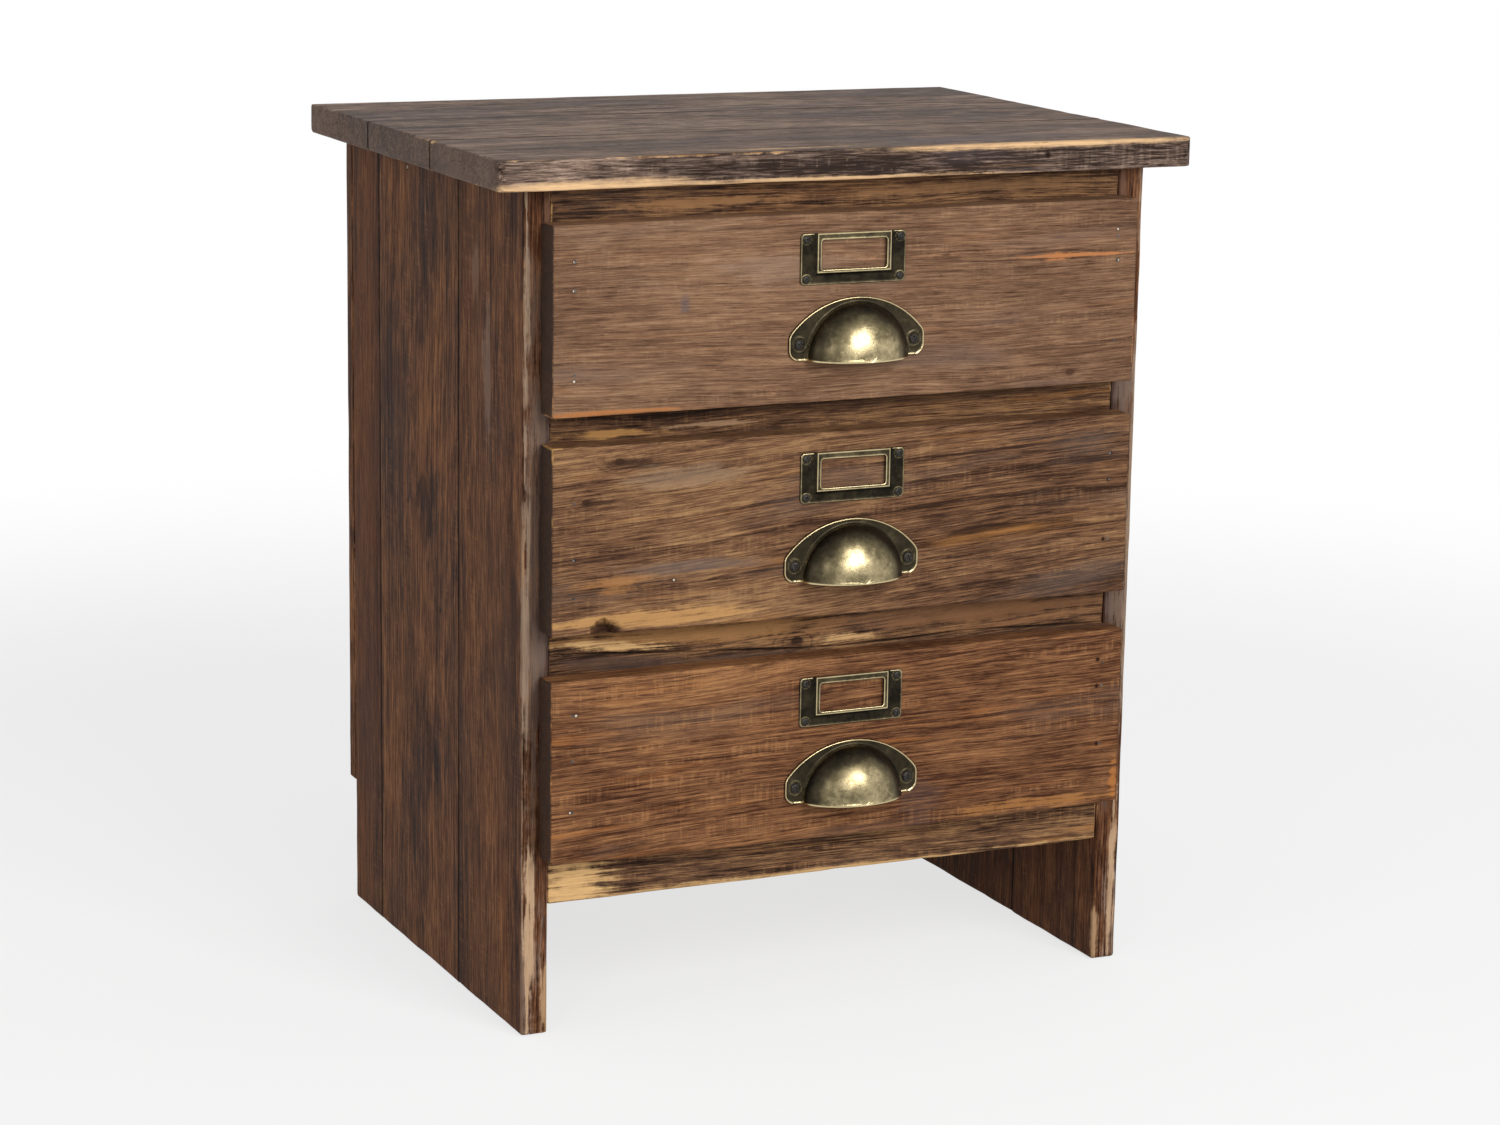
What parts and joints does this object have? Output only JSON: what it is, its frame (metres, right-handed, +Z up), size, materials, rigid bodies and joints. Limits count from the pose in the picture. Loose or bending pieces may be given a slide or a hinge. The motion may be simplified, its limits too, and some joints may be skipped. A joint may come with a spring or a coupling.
{
  "type": "nightstand",
  "caption": "Small floor-standing chest of boards with overhanging top, open foot space and a stack of sliding drawers with hooded cup pulls and label holders.",
  "frame": {"origin": "on the floor under the middle of the overall box", "axes": "+Z up, -Y the front where the drawers open, +X the right-hand side as seen from the front"},
  "size_m": [0.458, 0.36, 0.5325],
  "materials": {
    "weathered_top_wood": "weathered grey-brown, waxed, worn to bare wood along the arrises",
    "dark_side_wood": "dark brown stain with upright grain, waxed",
    "worn_rail_wood": "brown stain worn through to pale wood in patches",
    "stained_front_wood": "brown stain over planed boards, edges rubbed",
    "bare_inner_wood": "unfinished softwood",
    "antique_brass": "darkened brass, polished on raised edges",
    "black_screw_steel": "blackened",
    "nail_steel": "dull dark steel"
  },
  "bodies": {
    "carcass": {"back_board_left": "dark_side_wood", "back_board_middle": "dark_side_wood", "back_board_right": "dark_side_wood", "back_nails": "nail_steel", "bottom_rail": "worn_rail_wood", "cleat_screws": "black_screw_steel", "left_side_board_front": "dark_side_wood", "left_side_board_middle": "dark_side_wood", "left_side_board_rear": "dark_side_wood", "lower_rail": "worn_rail_wood", "lower_runner_left": "bare_inner_wood", "lower_runner_right": "bare_inner_wood", "middle_runner_left": "bare_inner_wood", "middle_runner_right": "bare_inner_wood", "right_side_board_front": "dark_side_wood", "right_side_board_middle": "dark_side_wood", "right_side_board_rear": "dark_side_wood", "runner_screws": "black_screw_steel", "top_board_front": "weathered_top_wood", "top_board_middle": "weathered_top_wood", "top_board_rear": "weathered_top_wood", "top_cleat_left": "bare_inner_wood", "top_cleat_right": "bare_inner_wood", "top_rail": "worn_rail_wood", "upper_rail": "worn_rail_wood", "upper_runner_left": "bare_inner_wood", "upper_runner_right": "bare_inner_wood"},
    "top_drawer": {"top_drawer_back": "bare_inner_wood", "top_drawer_bottom": "bare_inner_wood", "top_drawer_cup_pull": "antique_brass", "top_drawer_front": "stained_front_wood", "top_drawer_label_holder": "antique_brass", "top_drawer_label_screws": "black_screw_steel", "top_drawer_left_side": "bare_inner_wood", "top_drawer_nails": "nail_steel", "top_drawer_pull_screws": "black_screw_steel", "top_drawer_right_side": "bare_inner_wood"},
    "middle_drawer": {"middle_drawer_back": "bare_inner_wood", "middle_drawer_bottom": "bare_inner_wood", "middle_drawer_cup_pull": "antique_brass", "middle_drawer_front": "stained_front_wood", "middle_drawer_label_holder": "antique_brass", "middle_drawer_label_screws": "black_screw_steel", "middle_drawer_left_side": "bare_inner_wood", "middle_drawer_nails": "nail_steel", "middle_drawer_pull_screws": "black_screw_steel", "middle_drawer_right_side": "bare_inner_wood"},
    "bottom_drawer": {"bottom_drawer_back": "bare_inner_wood", "bottom_drawer_bottom": "bare_inner_wood", "bottom_drawer_cup_pull": "antique_brass", "bottom_drawer_front": "stained_front_wood", "bottom_drawer_label_holder": "antique_brass", "bottom_drawer_label_screws": "black_screw_steel", "bottom_drawer_left_side": "bare_inner_wood", "bottom_drawer_nails": "nail_steel", "bottom_drawer_pull_screws": "black_screw_steel", "bottom_drawer_right_side": "bare_inner_wood"}
  },
  "joints": [
    {"name": "top_drawer_slide", "type": "slide", "parent": "carcass", "child": "top_drawer", "axis": [0, -1, 0], "range_m": [0, 0.2]},
    {"name": "middle_drawer_slide", "type": "slide", "parent": "carcass", "child": "middle_drawer", "axis": [0, -1, 0], "range_m": [0, 0.2]},
    {"name": "bottom_drawer_slide", "type": "slide", "parent": "carcass", "child": "bottom_drawer", "axis": [0, -1, 0], "range_m": [0, 0.2]}
  ]
}
